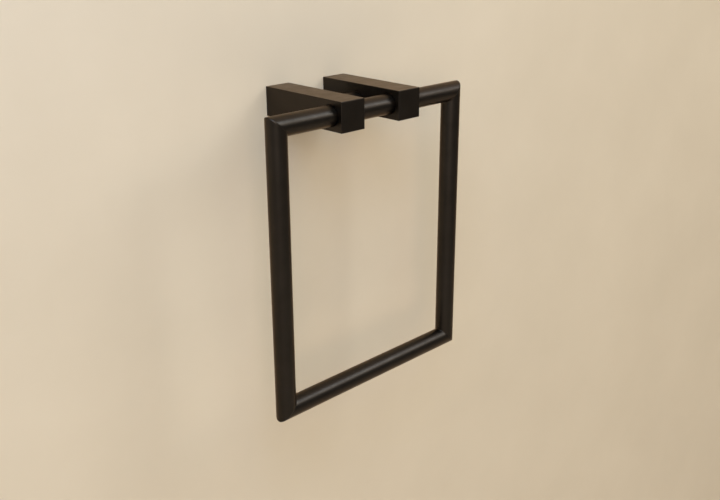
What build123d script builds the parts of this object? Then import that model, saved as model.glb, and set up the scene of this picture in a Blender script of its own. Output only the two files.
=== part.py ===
"""Towel holder: an upright ring of mitred round tube carried by two square posts.

Millimetres, +Z up. The posts are fixed on the plane Y = 0 and stand out from it towards -Y.
The origin lies on that plane, midway between the two fixing screws.
"""

import os

from build123d import *

os.makedirs("parts", exist_ok=True)

# Ring of mitred round tube, sizes between tube centres
ring_width = 186.0
ring_height = 224.0
tube_diameter = 16.0
tube_wall = 1.5

# Square posts
post_side = 23.5
post_spacing = 60.0
post_edge = 0.5
mouth_edge = 0.3
bar_reach = 75.0
nose_length = 12.0

# Rod that ties the posts together
rod_diameter = 10.0
rod_reach = 40.0
socket_depth = 4.0
rod_edge = 0.5

# Bosses that the posts slide over, each held by one fixing screw
boss_diameter = 15.0
boss_length = 20.0
boss_edge = 0.6
pocket_spare = 2.0
groove_reach = 10.0
groove_depth = 1.5
screw_hole_diameter = 5.0
screw_head_diameter = 9.5

# Grub screws under the posts
boss_grub_diameter = 5.0
boss_grub_point = 0.6
boss_grub_key = 2.5
bar_grub_diameter = 4.0
bar_grub_bevel = 0.5
bar_grub_key = 2.0
key_depth = 1.6
grub_recess = 0.4

# Clearances on the radius, and between a screw's point and its seat
bar_clearance = 0.15
boss_clearance = 0.15
rod_clearance = 0.05
thread_clearance = 0.1
point_clearance = 0.1

# Values that follow
tube_radius = tube_diameter / 2
boss_radius = boss_diameter / 2
half_side = post_side / 2
post_length = bar_reach + nose_length
ring_plane_y = -bar_reach
post_centres = (-post_spacing / 2, post_spacing / 2)
rod_length = post_spacing - post_side + 2 * (socket_depth - rod_clearance)


# Each tube is cut at 45 degrees where it meets the next one
def mitre_plane(side, level):
    corner = (side * ring_width / 2, ring_plane_y, level)
    inward = 1 if level < 0 else -1
    return Plane(origin=corner, z_dir=(-side, 0, -inward))


def build_bar(level):
    outer_half = ring_width / 2 + tube_radius
    with BuildPart() as bar:
        with BuildSketch(Plane.YZ.offset(-outer_half)):
            with Locations((ring_plane_y, level)):
                Circle(tube_radius)
                Circle(tube_radius - tube_wall, mode=Mode.SUBTRACT)
        extrude(amount=2 * outer_half)
        split(bisect_by=mitre_plane(-1, level), keep=Keep.TOP)
        split(bisect_by=mitre_plane(1, level), keep=Keep.TOP)
    return bar


def build_upright(side):
    with BuildPart() as upright:
        with BuildSketch(Plane.XY.offset(tube_radius)):
            with Locations((side * ring_width / 2, ring_plane_y)):
                Circle(tube_radius)
                Circle(tube_radius - tube_wall, mode=Mode.SUBTRACT)
        extrude(amount=-(ring_height + 2 * tube_radius))
        split(bisect_by=mitre_plane(side, 0), keep=Keep.BOTTOM)
        split(bisect_by=mitre_plane(side, -ring_height), keep=Keep.BOTTOM)
    return upright


# Square post with the bore for the ring, a socket for the rod and a pocket for the boss
def build_post(side):
    centre_x = side * post_spacing / 2
    inner_x = centre_x - side * half_side
    with BuildPart() as post:
        with BuildSketch(Plane.XZ):
            with Locations((centre_x, 0)):
                Rectangle(post_side, post_side)
        extrude(amount=post_length)
        rear_edges = post.edges().group_by(Axis.Y)[-1]
        fillet(post.edges() - rear_edges, radius=post_edge)
        with BuildSketch(Plane.YZ.offset(centre_x - half_side)):
            with Locations((ring_plane_y, 0)):
                Circle(tube_radius + bar_clearance)
        extrude(amount=post_side, mode=Mode.SUBTRACT)
        with BuildSketch(Plane.YZ.offset(inner_x)):
            with Locations((-rod_reach, 0)):
                Circle(rod_diameter / 2 + rod_clearance)
        extrude(amount=side * socket_depth, mode=Mode.SUBTRACT)
        with BuildSketch(Plane.XZ):
            with Locations((centre_x, 0)):
                Circle(boss_radius + boss_clearance)
        extrude(amount=boss_length + pocket_spare, mode=Mode.SUBTRACT)
        with BuildSketch(Plane.XY.offset(-half_side)):
            with Locations((centre_x, -groove_reach)):
                Circle(boss_grub_diameter / 2 + thread_clearance)
            with Locations((centre_x, ring_plane_y)):
                Circle(bar_grub_diameter / 2 + thread_clearance)
        extrude(amount=half_side, mode=Mode.SUBTRACT)
        mouths = post.edges().filter_by(GeomType.CIRCLE).filter_by(lambda edge: edge.radius > post_edge)
        side_mouths = mouths.group_by(Axis.X)[0] + mouths.group_by(Axis.X)[-1]
        chamfer(side_mouths + mouths.group_by(Axis.Z)[0] + mouths.group_by(Axis.Y)[-1], length=mouth_edge)
    return post


# Rod seated in both sockets, with its ends broken
def build_rod():
    with BuildPart() as rod:
        with BuildSketch(Plane.YZ.offset(-rod_length / 2)):
            with Locations((-rod_reach, 0)):
                Circle(rod_diameter / 2)
        extrude(amount=rod_length)
        chamfer(rod.edges().filter_by(GeomType.CIRCLE), length=rod_edge)
    return rod


# Turned boss with a countersunk hole for the fixing screw and a groove for the grub screw
def build_boss(centre_x):
    hole = screw_hole_diameter / 2
    head = screw_head_diameter / 2
    floor = boss_radius - groove_depth
    with BuildPart() as boss:
        with BuildSketch(Plane(origin=(centre_x, 0, 0))):
            with BuildLine():
                Polyline(
                    (hole, 0),
                    (boss_radius, 0),
                    (boss_radius, boss_grub_point + groove_depth - groove_reach),
                    (floor, boss_grub_point - groove_reach),
                    (floor, -boss_grub_point - groove_reach),
                    (boss_radius, -boss_grub_point - groove_depth - groove_reach),
                    (boss_radius, boss_edge - boss_length),
                    (boss_radius - boss_edge, -boss_length),
                    (head, -boss_length),
                    (hole, head - hole - boss_length),
                    close=True,
                )
            make_face()
        revolve(axis=Axis((centre_x, 0, 0), (0, 1, 0)))
    return boss


# Grub screw standing upright, its point up and its key socket open below
def build_grubs(place_y, diameter, key, tip_z, tip_radius):
    shaft = diameter / 2
    base_z = grub_recess - half_side
    with BuildPart() as grubs:
        for centre_x in post_centres:
            with BuildSketch(Plane((centre_x, place_y, 0), x_dir=(1, 0, 0), z_dir=(0, -1, 0))):
                with BuildLine():
                    Polyline(
                        (0, base_z),
                        (shaft, base_z),
                        (shaft, tip_z - (shaft - tip_radius)),
                        (tip_radius, tip_z),
                        (0, tip_z),
                        close=True,
                    )
                make_face()
            revolve(axis=Axis((centre_x, place_y, 0), (0, 0, 1)))
        with BuildSketch(Plane.XY.offset(base_z)):
            with Locations(*[(centre_x, place_y) for centre_x in post_centres]):
                RegularPolygon(radius=key / 2, side_count=6, major_radius=False)
        extrude(amount=key_depth, mode=Mode.SUBTRACT)
    return grubs


ring_top_bar = build_bar(0)
ring_bottom_bar = build_bar(-ring_height)
ring_left_tube = build_upright(-1)
ring_right_tube = build_upright(1)
left_post = build_post(-1)
right_post = build_post(1)
cross_rod = build_rod()
left_wall_boss = build_boss(post_centres[0])
right_wall_boss = build_boss(post_centres[1])

# The boss screws' points enter the grooves, and the bar screws' points press on the ring
boss_point_z = groove_depth - boss_radius - point_clearance
bar_point_z = -tube_radius - point_clearance
bar_tip_radius = bar_grub_diameter / 2 - bar_grub_bevel
boss_grub_screws = build_grubs(
    -groove_reach, boss_grub_diameter, boss_grub_key, boss_point_z, boss_grub_point
)
bar_grub_screws = build_grubs(
    ring_plane_y, bar_grub_diameter, bar_grub_key, bar_point_z, bar_tip_radius
)

ring_top_bar.part.label = "ring_top_bar"
ring_bottom_bar.part.label = "ring_bottom_bar"
ring_left_tube.part.label = "ring_left_tube"
ring_right_tube.part.label = "ring_right_tube"
left_post.part.label = "left_post"
right_post.part.label = "right_post"
cross_rod.part.label = "cross_rod"
left_wall_boss.part.label = "left_wall_boss"
right_wall_boss.part.label = "right_wall_boss"
boss_grub_screws.part.label = "boss_grub_screws"
bar_grub_screws.part.label = "bar_grub_screws"

export_step(ring_top_bar.part, "parts/ring_top_bar.step")
export_step(ring_bottom_bar.part, "parts/ring_bottom_bar.step")
export_step(ring_left_tube.part, "parts/ring_left_tube.step")
export_step(ring_right_tube.part, "parts/ring_right_tube.step")
export_step(left_post.part, "parts/left_post.step")
export_step(right_post.part, "parts/right_post.step")
export_step(cross_rod.part, "parts/cross_rod.step")
export_step(left_wall_boss.part, "parts/left_wall_boss.step")
export_step(right_wall_boss.part, "parts/right_wall_boss.step")
export_step(boss_grub_screws.part, "parts/boss_grub_screws.step")
export_step(bar_grub_screws.part, "parts/bar_grub_screws.step")
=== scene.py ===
"""Towel holder: an upright ring of round tube on two square posts, in a plain studio.

Metres, +Z up. The posts are fixed on the plane Y = 0 and stand out from it towards -Y.
"""

import math

import bmesh
import bpy
from mathutils import Matrix, Vector


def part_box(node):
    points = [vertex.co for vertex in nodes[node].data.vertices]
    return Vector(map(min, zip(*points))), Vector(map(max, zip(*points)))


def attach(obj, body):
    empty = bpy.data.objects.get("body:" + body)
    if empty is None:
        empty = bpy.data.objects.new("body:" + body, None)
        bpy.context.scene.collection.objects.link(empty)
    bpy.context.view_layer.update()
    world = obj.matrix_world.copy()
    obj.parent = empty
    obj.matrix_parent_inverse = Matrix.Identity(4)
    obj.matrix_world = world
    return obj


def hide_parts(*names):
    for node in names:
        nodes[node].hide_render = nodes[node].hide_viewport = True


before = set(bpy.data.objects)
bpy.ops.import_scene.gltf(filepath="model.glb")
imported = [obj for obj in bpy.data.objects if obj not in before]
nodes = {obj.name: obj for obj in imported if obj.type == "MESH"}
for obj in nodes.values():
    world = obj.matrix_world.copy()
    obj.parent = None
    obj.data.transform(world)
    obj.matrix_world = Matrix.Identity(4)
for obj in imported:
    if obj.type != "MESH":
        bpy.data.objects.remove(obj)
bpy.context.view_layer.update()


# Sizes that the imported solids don't give

# Ring of mitred tube, where a loop of edges at the seam margin keeps the shading even up to each mitre
TUBE_THICKNESS = 0.0015
TUBE_SEGMENTS = 96
CORNER_ROUND = 0.0006
CORNER_SEGMENTS = 4
SEAM_MARGIN = 0.0012

# Grub screws, each with its thread pitch, key size across flats and tip radius
BOSS_GRUB = {"pitch": 0.0008, "key": 0.0025, "tip": 0.0006}
BAR_GRUB = {"pitch": 0.0007, "key": 0.0020, "tip": 0.0015}
KEY_DEPTH = 0.0016
KEY_SIDES = 6
THREAD_STEPS = 32
THREAD_DEPTH_SHARE = 0.55

# Lathe lines on the bosses
LATHE_PITCH = 0.0003

# Corners closer than MERGE become one, and a rim lies level within LEVEL_TOLERANCE
MERGE = 1e-6
LEVEL_TOLERANCE = 1e-5

# A face whose normal is this near to a mitre's own is the cut end of a tube
MITRE_FACE = 0.99

# Backdrop and floor
BACKDROP_GAP = 0.0002
BACKDROP_HALF = 3.0
FLOOR_LEVEL = -1.1
FLOOR_RADIUS = 10.0
FLOOR_SEGMENTS = 96


# Colours and roughness of the finishes

COAT_DARK = (0.036, 0.031, 0.026)
COAT_LIGHT = (0.042, 0.036, 0.031)
COAT_ROUGHNESS = (0.30, 0.37)
COAT_GRAZING_TINT = (1.0, 0.86, 0.74)
TUBE_PEEL_SCALE = 1300.0
POST_PEEL_SCALE = 1200.0

TURNED_DARK = (0.50, 0.49, 0.47)
TURNED_LIGHT = (0.60, 0.60, 0.59)
TURNED_ROUGHNESS = (0.26, 0.40)

OXIDE_THICK = (0.045, 0.045, 0.048)
OXIDE_THIN = (0.13, 0.128, 0.124)
OXIDE_ROUGHNESS = (0.42, 0.32)
OXIDE_SPAN = (0.35, 0.75)

BACKDROP_DARK = (0.655, 0.547, 0.40)
BACKDROP_LIGHT = (0.69, 0.578, 0.426)
BACKDROP_ROUGHNESS = (0.56, 0.64)
FLOOR_COLOR = (0.62, 0.56, 0.49)
FLOOR_ROUGHNESS = 0.8

# Values that a noise mostly lies between, and those of a wave
NOISE_SPAN = (0.3, 0.7)
WAVE_SPAN = (0.0, 1.0)

# Radians that a wave texture turns through in a metre at a scale of 1
WAVE_RADIANS = 20


# Steps that the finishes share

def opaque(color):
    return (*color, 1.0)


def new_material(name):
    material = bpy.data.materials.new(name)
    material.use_nodes = True
    tree = material.node_tree
    return material, tree, tree.nodes["Principled BSDF"]


def feed(tree, socket, value):
    """Links a socket to another one, or sets it to a plain value."""
    if isinstance(value, bpy.types.NodeSocket):
        tree.links.new(value, socket)
    else:
        socket.default_value = value


def object_coordinates(tree):
    return tree.nodes.new("ShaderNodeTexCoord").outputs["Object"]


def noise(tree, vector, scale, detail=2.0, roughness=0.5):
    node = tree.nodes.new("ShaderNodeTexNoise")
    feed(tree, node.inputs["Scale"], scale)
    node.inputs["Detail"].default_value = detail
    node.inputs["Roughness"].default_value = roughness
    tree.links.new(vector, node.inputs["Vector"])
    return node.outputs["Fac"]


def spread(tree, value, to_low, to_high, span=NOISE_SPAN):
    """Stretches the span in which a pattern mostly lies to a range of its own."""
    node = tree.nodes.new("ShaderNodeMapRange")
    node.inputs["From Min"].default_value = span[0]
    node.inputs["From Max"].default_value = span[1]
    feed(tree, node.inputs["To Min"], to_low)
    feed(tree, node.inputs["To Max"], to_high)
    tree.links.new(value, node.inputs["Value"])
    return node.outputs["Result"]


def tone_between(tree, pattern, first, second, span=NOISE_SPAN):
    """A colour that wanders between two others with a pattern."""
    node = tree.nodes.new("ShaderNodeMix")
    node.data_type = "RGBA"
    tree.links.new(spread(tree, pattern, 0.0, 1.0, span), node.inputs["Factor"])
    feed(tree, node.inputs["A"], first)
    feed(tree, node.inputs["B"], second)
    return node.outputs["Result"]


def bump(tree, height, strength, distance):
    node = tree.nodes.new("ShaderNodeBump")
    node.inputs["Strength"].default_value = strength
    node.inputs["Distance"].default_value = distance
    tree.links.new(height, node.inputs["Height"])
    return node.outputs["Normal"]


def dress(tree, shader, color, roughness, normal):
    tree.links.new(color, shader.inputs["Base Color"])
    tree.links.new(roughness, shader.inputs["Roughness"])
    tree.links.new(normal, shader.inputs["Normal"])


# Satin coat of the ring, the posts and the rod

COAT_INPUTS = (
    ("Dark", "NodeSocketColor"),
    ("Light", "NodeSocketColor"),
    ("Peel Scale", "NodeSocketFloat"),
    ("Roughness Low", "NodeSocketFloat"),
    ("Roughness High", "NodeSocketFloat"),
)
COAT_OUTPUTS = (
    ("Color", "NodeSocketColor"),
    ("Roughness", "NodeSocketFloat"),
    ("Height", "NodeSocketFloat"),
)


def build_satin_coat_group():
    """Orange peel and cloudiness of a sprayed satin coat: a colour, a roughness and a height."""
    group = bpy.data.node_groups.new("satin_coat", "ShaderNodeTree")
    for name, kind in COAT_INPUTS:
        group.interface.new_socket(name, in_out="INPUT", socket_type=kind)
    for name, kind in COAT_OUTPUTS:
        group.interface.new_socket(name, in_out="OUTPUT", socket_type=kind)
    given = group.nodes.new("NodeGroupInput").outputs
    made = group.nodes.new("NodeGroupOutput").inputs
    place = object_coordinates(group)
    cloud = noise(group, place, scale=45.0, detail=3.0, roughness=0.55)
    group.links.new(tone_between(group, cloud, given["Dark"], given["Light"]), made["Color"])
    patch = noise(group, place, scale=120.0, detail=2.0, roughness=0.6)
    rough = spread(group, patch, given["Roughness Low"], given["Roughness High"])
    group.links.new(rough, made["Roughness"])
    peel = noise(group, place, scale=given["Peel Scale"], detail=3.0)
    group.links.new(peel, made["Height"])
    return group


def build_satin_coat(name, group, peel_scale):
    """A metallic satin coat, whose reflections stay warm where they graze it."""
    material, tree, shader = new_material(name)
    coat = tree.nodes.new("ShaderNodeGroup")
    coat.node_tree = group
    coat.inputs["Dark"].default_value = opaque(COAT_DARK)
    coat.inputs["Light"].default_value = opaque(COAT_LIGHT)
    coat.inputs["Peel Scale"].default_value = peel_scale
    coat.inputs["Roughness Low"].default_value = COAT_ROUGHNESS[0]
    coat.inputs["Roughness High"].default_value = COAT_ROUGHNESS[1]
    peel = bump(tree, coat.outputs["Height"], strength=0.3, distance=0.00005)
    dress(tree, shader, coat.outputs["Color"], coat.outputs["Roughness"], peel)
    shader.inputs["Metallic"].default_value = 1.0
    shader.inputs["Specular Tint"].default_value = opaque(COAT_GRAZING_TINT)
    return material


# Steel of the bosses and the screws

def build_turned_steel(axis_offset):
    """Bright steel with fine lathe lines round the axis of each boss, left and right alike."""
    material, tree, shader = new_material("turned_steel")
    place = object_coordinates(tree)
    folded = tree.nodes.new("ShaderNodeVectorMath")
    folded.operation = "ABSOLUTE"
    tree.links.new(place, folded.inputs[0])
    about_axis = tree.nodes.new("ShaderNodeVectorMath")
    about_axis.operation = "SUBTRACT"
    about_axis.inputs[1].default_value = (axis_offset, 0, 0)
    tree.links.new(folded.outputs["Vector"], about_axis.inputs[0])
    lines = tree.nodes.new("ShaderNodeTexWave")
    lines.wave_type = "RINGS"
    lines.rings_direction = "Y"
    lines.inputs["Scale"].default_value = 2 * math.pi / (WAVE_RADIANS * LATHE_PITCH)
    lines.inputs["Distortion"].default_value = 2.0
    lines.inputs["Detail"].default_value = 1.0
    tree.links.new(about_axis.outputs["Vector"], lines.inputs["Vector"])
    cloud = noise(tree, place, scale=250.0)
    color = tone_between(tree, cloud, opaque(TURNED_DARK), opaque(TURNED_LIGHT))
    rough = spread(tree, lines.outputs["Fac"], *TURNED_ROUGHNESS, span=WAVE_SPAN)
    dress(tree, shader, color, rough, bump(tree, lines.outputs["Fac"], strength=0.3, distance=0.00002))
    shader.inputs["Metallic"].default_value = 1.0
    return material


def build_blackened_steel():
    """Oil-blackened screw steel, a little greyer where the oxide is thin."""
    material, tree, shader = new_material("blackened_steel")
    thin = noise(tree, object_coordinates(tree), scale=1200.0, detail=3.0, roughness=0.6)
    color = tone_between(tree, thin, opaque(OXIDE_THICK), opaque(OXIDE_THIN), span=OXIDE_SPAN)
    rough = spread(tree, thin, *OXIDE_ROUGHNESS)
    dress(tree, shader, color, rough, bump(tree, thin, strength=0.15, distance=0.00002))
    shader.inputs["Metallic"].default_value = 1.0
    return material


post_centres = [sum(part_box(post), Vector()).x / 2 for post in ("left_post", "right_post")]
satin_coat = build_satin_coat_group()
ring_coat = build_satin_coat("ring_coat", satin_coat, TUBE_PEEL_SCALE)
post_coat = build_satin_coat("post_coat", satin_coat, POST_PEEL_SCALE)
rod_coat = build_satin_coat("rod_coat", satin_coat, TUBE_PEEL_SCALE)
boss_steel = build_turned_steel(post_centres[1])
screw_steel = build_blackened_steel()

finishes = {
    "ring_top_bar": ring_coat,
    "ring_bottom_bar": ring_coat,
    "ring_left_tube": ring_coat,
    "ring_right_tube": ring_coat,
    "left_post": post_coat,
    "right_post": post_coat,
    "cross_rod": rod_coat,
    "left_wall_boss": boss_steel,
    "right_wall_boss": boss_steel,
    "boss_grub_screws": screw_steel,
    "bar_grub_screws": screw_steel,
}
for node_name, finish in finishes.items():
    slots = nodes[node_name].data.materials
    slots.clear()
    slots.append(finish)


# Steps that the new pieces share

def add_piece(name, form, node):
    """Turns a bmesh into the piece that stands for a node, in that node's own finish."""
    mesh = bpy.data.meshes.new(name)
    form.to_mesh(mesh)
    form.free()
    mesh.materials.append(finishes[node])
    piece = bpy.data.objects.new(name, mesh)
    bpy.context.collection.objects.link(piece)
    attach(piece, "root")
    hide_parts(node)


def everything(form):
    return form.verts[:] + form.edges[:] + form.faces[:]


def extrude_rim(form, rim):
    """Extrudes a rim in place, and returns the new rim's edges and its corners, ready to be moved."""
    made = bmesh.ops.extrude_edge_only(form, edges=rim)["geom"]
    verts = [part for part in made if isinstance(part, bmesh.types.BMVert)]
    edges = [part for part in made if isinstance(part, bmesh.types.BMEdge) and set(part.verts) <= set(verts)]
    return edges, verts


# Ring: one mitred loop of tube, cut into its four tubes so that the joints meet face to face

top_low, top_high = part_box("ring_top_bar")
bottom_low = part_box("ring_bottom_bar")[0]
tube_radius = (top_high.z - top_low.z) / 2
ring_low = Vector((top_low.x, top_low.y, bottom_low.z))
ring_centre = (ring_low + top_high) / 2
half_width = (top_high.x - ring_low.x) / 2 - tube_radius
half_height = (top_high.z - ring_low.z) / 2 - tube_radius

TOP_LEFT = (-1, 1)
TOP_RIGHT = (1, 1)
BOTTOM_LEFT = (-1, -1)
BOTTOM_RIGHT = (1, -1)

# Mirrors that carry the rim from corner to corner round the ring
ACROSS = (-1, 1, 1)
UP_OR_DOWN = (1, 1, -1)


def build_ring():
    """The outside of the whole ring, its mitred corners softened as the coat softens them."""
    ring = bmesh.new()
    # The top left mitre is a circle turned to stand aslant and drawn out by the square root of two
    first_mitre = (
        Matrix.Translation(ring_centre + Vector((-half_width, 0, half_height)))
        @ Matrix.Rotation(math.radians(225), 4, "Y")
        @ Matrix.Diagonal((math.sqrt(2), 1, 1, 1))
    )
    bmesh.ops.create_circle(ring, segments=TUBE_SEGMENTS, radius=tube_radius, matrix=first_mitre)
    rim = ring.edges[:]
    for mirror in (ACROSS, UP_OR_DOWN, ACROSS, UP_OR_DOWN):
        rim, verts = extrude_rim(ring, rim)
        bmesh.ops.scale(ring, vec=mirror, space=Matrix.Translation(-ring_centre), verts=verts)
    bmesh.ops.remove_doubles(ring, verts=ring.verts, dist=MERGE)
    creases = [edge for edge in ring.edges if edge.calc_length() < tube_radius]
    bmesh.ops.bevel(
        ring, geom=creases, offset=CORNER_ROUND, offset_type="OFFSET", affect="EDGES",
        segments=CORNER_SEGMENTS, profile=0.5, material=-1,
    )
    return ring


def mitre_at(corner, upright):
    """The middle of a mitre, and the way out of the tube that it ends."""
    side, level = corner
    middle = ring_centre + Vector((side * half_width, 0, level * half_height))
    outward = Vector((-side, 0, level) if upright else (side, 0, -level)).normalized()
    return middle, outward


def open_bore(tube, mitres):
    """Turns both rims in by the tube's thickness and joins them with one long bore."""
    shrink = (1 - TUBE_THICKNESS / tube_radius,) * 3
    reach = 3 * tube_radius
    bore_rims = []
    for middle, outward in mitres:
        rim = [
            edge for edge in tube.edges
            if edge.is_boundary and (edge.verts[0].co - middle).length < reach
        ]
        bore_rim, verts = extrude_rim(tube, rim)
        bmesh.ops.scale(tube, vec=shrink, space=Matrix.Translation(-middle), verts=verts)
        bore_rims += bore_rim
    bmesh.ops.bridge_loops(tube, edges=bore_rims)


def add_tube(ring, node, corners, upright):
    """One tube of the ring, cut free at its two mitres, with flat ends and smooth sides."""
    tube = ring.copy()
    mitres = [mitre_at(corner, upright) for corner in corners]
    for middle, outward in mitres:
        bmesh.ops.bisect_plane(
            tube, geom=everything(tube), dist=MERGE, plane_co=middle, plane_no=outward, clear_outer=True
        )
    open_bore(tube, mitres)
    for middle, outward in mitres:
        seam = middle - outward * SEAM_MARGIN
        bmesh.ops.bisect_plane(tube, geom=everything(tube), dist=MERGE, plane_co=seam, plane_no=outward)
    bmesh.ops.recalc_face_normals(tube, faces=tube.faces)
    for face in tube.faces:
        face.smooth = all(face.normal.dot(outward) < MITRE_FACE for middle, outward in mitres)
    add_piece("coated_" + node, tube, node)


ring_form = build_ring()
add_tube(ring_form, "ring_top_bar", (TOP_LEFT, TOP_RIGHT), upright=False)
add_tube(ring_form, "ring_bottom_bar", (BOTTOM_LEFT, BOTTOM_RIGHT), upright=False)
add_tube(ring_form, "ring_left_tube", (TOP_LEFT, BOTTOM_LEFT), upright=True)
add_tube(ring_form, "ring_right_tube", (TOP_RIGHT, BOTTOM_RIGHT), upright=True)
ring_form.free()


# Grub screws: threaded, with a key socket below and a turned point above

def add_circle(form, sides, radius, centre):
    """A level circle of edges: its corners and its edges."""
    place = Matrix.Translation(centre)
    verts = bmesh.ops.create_circle(form, segments=sides, radius=radius, matrix=place)["verts"]
    return verts, list(dict.fromkeys(edge for vert in verts for edge in vert.link_edges))


def rim_at(form, level):
    return [
        edge for edge in form.edges
        if edge.is_boundary and all(abs(vert.co.z - level) < LEVEL_TOLERANCE for vert in edge.verts)
    ]


def add_thread(screw, axis, low, high, radius, pitch):
    """A helical thread round an upright axis, cut level at both ends."""
    root = radius - THREAD_DEPTH_SHARE * pitch
    start = low - pitch
    turns = math.ceil((high - start) / pitch) + 1
    profile = ((root, start), (radius, start + pitch / 2), (root, start + pitch))
    tooth = [screw.verts.new((axis.x + reach, axis.y, height)) for reach, height in profile]
    flanks = [screw.edges.new(pair) for pair in zip(tooth, tooth[1:])]
    bmesh.ops.spin(
        screw, geom=tooth + flanks, cent=axis, axis=(0, 0, 1), dvec=(0, 0, pitch / THREAD_STEPS),
        angle=2 * math.pi * turns, steps=THREAD_STEPS * turns,
    )
    bmesh.ops.remove_doubles(screw, verts=screw.verts, dist=MERGE)
    for level, side in ((low, -1), (high, 1)):
        bmesh.ops.bisect_plane(
            screw, geom=everything(screw), dist=MERGE,
            plane_co=(0, 0, level), plane_no=(0, 0, side), clear_outer=True,
        )


def add_point(screw, shoulder_rim, tip, centre):
    """The cone above the thread, closed by a small flat."""
    verts, rim = add_circle(screw, THREAD_STEPS, tip, centre)
    bmesh.ops.bridge_loops(screw, edges=shoulder_rim + rim)
    bmesh.ops.contextual_create(screw, geom=rim)


def add_key_socket(screw, foot_rim, key, foot_centre):
    """A hexagonal socket that goes up from the screw's foot."""
    up = Vector((0, 0, KEY_DEPTH))
    # The mouth is bridged from below and then raised, because a bridge between level rims can twist
    mouth, mouth_rim = add_circle(screw, KEY_SIDES, key / math.sqrt(3), foot_centre - up)
    bmesh.ops.bridge_loops(screw, edges=foot_rim + mouth_rim)
    bmesh.ops.translate(screw, vec=up, verts=mouth)
    floor_rim, floor_verts = extrude_rim(screw, mouth_rim)
    bmesh.ops.translate(screw, vec=up, verts=floor_verts)
    bmesh.ops.contextual_create(screw, geom=floor_rim)


def build_screw(centre_x, low, high, pitch, key, tip):
    screw = bmesh.new()
    axis = Vector((centre_x, (low.y + high.y) / 2, 0))
    radius = (high.y - low.y) / 2
    shoulder = high.z - (radius - tip)
    add_thread(screw, axis, low.z, shoulder, radius, pitch)
    foot_rim = rim_at(screw, low.z)
    shoulder_rim = rim_at(screw, shoulder)
    add_point(screw, shoulder_rim, tip, axis + Vector((0, 0, high.z)))
    add_key_socket(screw, foot_rim, key, axis + Vector((0, 0, low.z)))
    bmesh.ops.recalc_face_normals(screw, faces=screw.faces)
    return screw


def add_screws(node, sizes):
    """Both screws of a node as one piece, as the node holds them."""
    low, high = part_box(node)
    pair = bmesh.new()
    for centre_x in post_centres:
        screw = build_screw(centre_x, low, high, **sizes)
        mesh = bpy.data.meshes.new("one_screw")
        screw.to_mesh(mesh)
        screw.free()
        pair.from_mesh(mesh)
        bpy.data.meshes.remove(mesh)
    add_piece("threaded_" + node, pair, node)


add_screws("boss_grub_screws", BOSS_GRUB)
add_screws("bar_grub_screws", BAR_GRUB)


# Backdrop and floor

def add_stage(name, form, material):
    mesh = bpy.data.meshes.new(name)
    form.to_mesh(mesh)
    form.free()
    mesh.materials.append(material)
    surface = bpy.data.objects.new(name, mesh)
    bpy.context.collection.objects.link(surface)


def build_backdrop_paint():
    """Pale mottled paint that is clear when it is looked at from behind."""
    material, tree, shader = new_material("backdrop_paint")
    place = object_coordinates(tree)
    mottle = noise(tree, place, scale=7.0, detail=4.0, roughness=0.6)
    grain = noise(tree, place, scale=60.0, detail=5.0, roughness=0.6)
    color = tone_between(tree, mottle, opaque(BACKDROP_DARK), opaque(BACKDROP_LIGHT))
    rough = spread(tree, mottle, *BACKDROP_ROUGHNESS)
    dress(tree, shader, color, rough, bump(tree, grain, strength=0.12, distance=0.0005))
    clear = tree.nodes.new("ShaderNodeBsdfTransparent")
    geometry = tree.nodes.new("ShaderNodeNewGeometry")
    mix = tree.nodes.new("ShaderNodeMixShader")
    tree.links.new(geometry.outputs["Backfacing"], mix.inputs["Fac"])
    tree.links.new(shader.outputs["BSDF"], mix.inputs[1])
    tree.links.new(clear.outputs["BSDF"], mix.inputs[2])
    tree.links.new(mix.outputs["Shader"], tree.nodes["Material Output"].inputs["Surface"])
    return material


def build_floor_paint():
    material, tree, shader = new_material("floor_paint")
    shader.inputs["Base Color"].default_value = opaque(FLOOR_COLOR)
    shader.inputs["Roughness"].default_value = FLOOR_ROUGHNESS
    return material


def build_backdrop():
    """An upright plane behind the posts, open where they stand so that light reaches their rear faces."""
    backdrop = bmesh.new()
    place = Matrix.Translation((0, BACKDROP_GAP, FLOOR_LEVEL + BACKDROP_HALF))
    upright = place @ Matrix.Rotation(math.radians(90), 4, "X")
    bmesh.ops.create_grid(backdrop, x_segments=1, y_segments=1, size=BACKDROP_HALF, matrix=upright)
    feet = [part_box(post) for post in ("left_post", "right_post")]
    cuts = [(corner, across) for foot in feet for corner in foot for across in ((1, 0, 0), (0, 0, 1))]
    for corner, across in cuts:
        bmesh.ops.bisect_plane(
            backdrop, geom=everything(backdrop), dist=MERGE, plane_co=corner, plane_no=across
        )
    behind = []
    for face in backdrop.faces:
        middle = face.calc_center_median()
        if any(low.x < middle.x < high.x and low.z < middle.z < high.z for low, high in feet):
            behind.append(face)
    bmesh.ops.delete(backdrop, geom=behind, context="FACES")
    add_stage("backdrop", backdrop, build_backdrop_paint())


def build_floor():
    floor = bmesh.new()
    level = Matrix.Translation((0, 0, FLOOR_LEVEL))
    bmesh.ops.create_circle(
        floor, cap_ends=True, segments=FLOOR_SEGMENTS, radius=FLOOR_RADIUS, matrix=level
    )
    add_stage("floor", floor, build_floor_paint())


build_backdrop()
build_floor()


# Light

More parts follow.
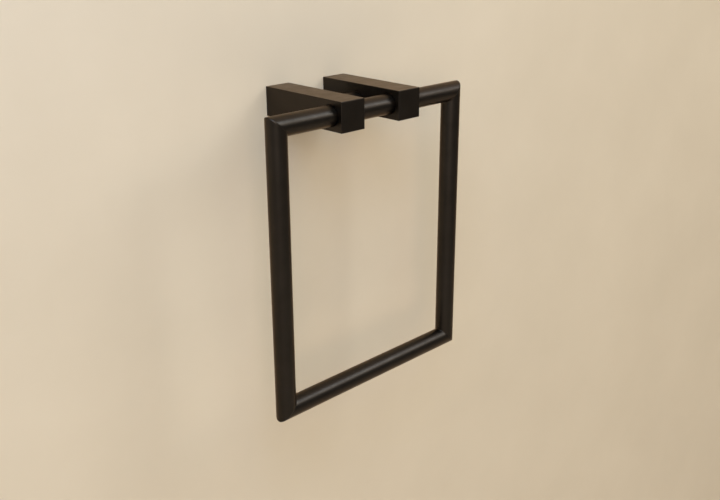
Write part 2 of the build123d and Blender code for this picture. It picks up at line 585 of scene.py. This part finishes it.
# The rear softbox reaches only the floor and the rear faces, because the backdrop stands before it
SOFTBOXES = {
    "right_low_softbox": dict(place=(43, 22, 2.8), size=(1.0, 1.0), power=5.8, color=(1.0, 0.89, 0.75)),
    "right_softbox": dict(place=(46, 34, 2.8), size=(1.0, 1.1), power=16.8, color=(0.66, 0.80, 0.92)),
    "side_softbox": dict(place=(64, 44, 2.2), size=(2.6, 2.2), power=13.0, color=(1.0, 0.82, 0.69)),
    "front_softbox": dict(place=(-38, 12, 3.0), size=(1.2, 1.2), power=24.7, color=(1.0, 0.80, 0.63)),
    "high_softbox": dict(place=(-38, 45, 2.2), size=(2.2, 2.2), power=22.2, color=(0.74, 0.97, 1.0)),
    "left_softbox": dict(place=(-42, 39, 1.0), size=(0.4, 0.4), power=3.4, color=(0.33, 0.52, 1.0)),
    "rear_softbox": dict(place=(205, 50, 3.2), size=(3.0, 3.0), power=120.0, color=(1.0, 0.97, 0.93)),
}

# The surround is bright towards one azimuth and elevation, and dim where the cosine from there is small
SURROUND_DIM = (0.20, 0.19, 0.176)
SURROUND_BRIGHT = (0.80, 0.79, 0.776)
BRIGHT_SIDE = (-60, 20)
DIM_COSINE = 0.2


def from_holder(azimuth, elevation, distance):
    """A point seen from the holder: azimuth 0 is straight out in front and 90 is to the right."""
    turn = math.radians(azimuth)
    lift = math.radians(elevation)
    flat = math.cos(lift)
    return Vector((math.sin(turn) * flat, -math.cos(turn) * flat, math.sin(lift))) * distance


def add_softbox(name, place, size, power, color):
    """A soft light that faces the holder and is itself out of the camera's sight."""
    light = bpy.data.lights.new(name, "AREA")
    light.shape = "RECTANGLE"
    light.size, light.size_y = size
    light.energy = power
    light.color = color
    lamp = bpy.data.objects.new(name, light)
    lamp.location = from_holder(*place)
    lamp.rotation_mode = "QUATERNION"
    lamp.rotation_quaternion = (-lamp.location).to_track_quat("-Z", "Y")
    lamp.visible_camera = False
    bpy.context.collection.objects.link(lamp)


def build_surround():
    world = bpy.data.worlds.new("studio")
    bpy.context.scene.world = world
    world.use_nodes = True
    tree = world.node_tree
    way = tree.nodes.new("ShaderNodeTexCoord").outputs["Generated"]
    nearness = tree.nodes.new("ShaderNodeVectorMath")
    nearness.operation = "DOT_PRODUCT"
    nearness.inputs[1].default_value = from_holder(*BRIGHT_SIDE, 1)
    tree.links.new(way, nearness.inputs[0])
    ramp = tree.nodes.new("ShaderNodeValToRGB")
    dim, bright = ramp.color_ramp.elements
    dim.position = DIM_COSINE
    dim.color = opaque(SURROUND_DIM)
    bright.position = 1.0
    bright.color = opaque(SURROUND_BRIGHT)
    tree.links.new(nearness.outputs["Value"], ramp.inputs["Fac"])
    tree.links.new(ramp.outputs["Color"], tree.nodes["Background"].inputs["Color"])
    tree.nodes["Background"].inputs["Strength"].default_value = 1.0


for softbox_name, softbox in SOFTBOXES.items():
    add_softbox(softbox_name, **softbox)
build_surround()


# Camera, at the photograph's angle

CAMERA_PLACE = (-0.48081, -0.56268, 0.14428)
CAMERA_YAW = 44.773
CAMERA_PITCH = 19.615
CAMERA_LENS = 45.4
CAMERA_SHIFT = (-0.0192, -0.0271)
CAMERA_REACH = (0.01, 50.0)


def build_camera():
    data = bpy.data.cameras.new("camera")
    data.lens = CAMERA_LENS
    data.shift_x, data.shift_y = CAMERA_SHIFT
    data.clip_start, data.clip_end = CAMERA_REACH
    camera = bpy.data.objects.new("camera", data)
    bpy.context.collection.objects.link(camera)
    camera.matrix_world = (
        Matrix.Translation(CAMERA_PLACE)
        @ Matrix.Rotation(math.radians(-CAMERA_YAW), 4, "Z")
        @ Matrix.Rotation(math.radians(90 - CAMERA_PITCH), 4, "X")
    )
    bpy.context.scene.camera = camera


build_camera()
bpy.context.scene.view_settings.view_transform = "Standard"
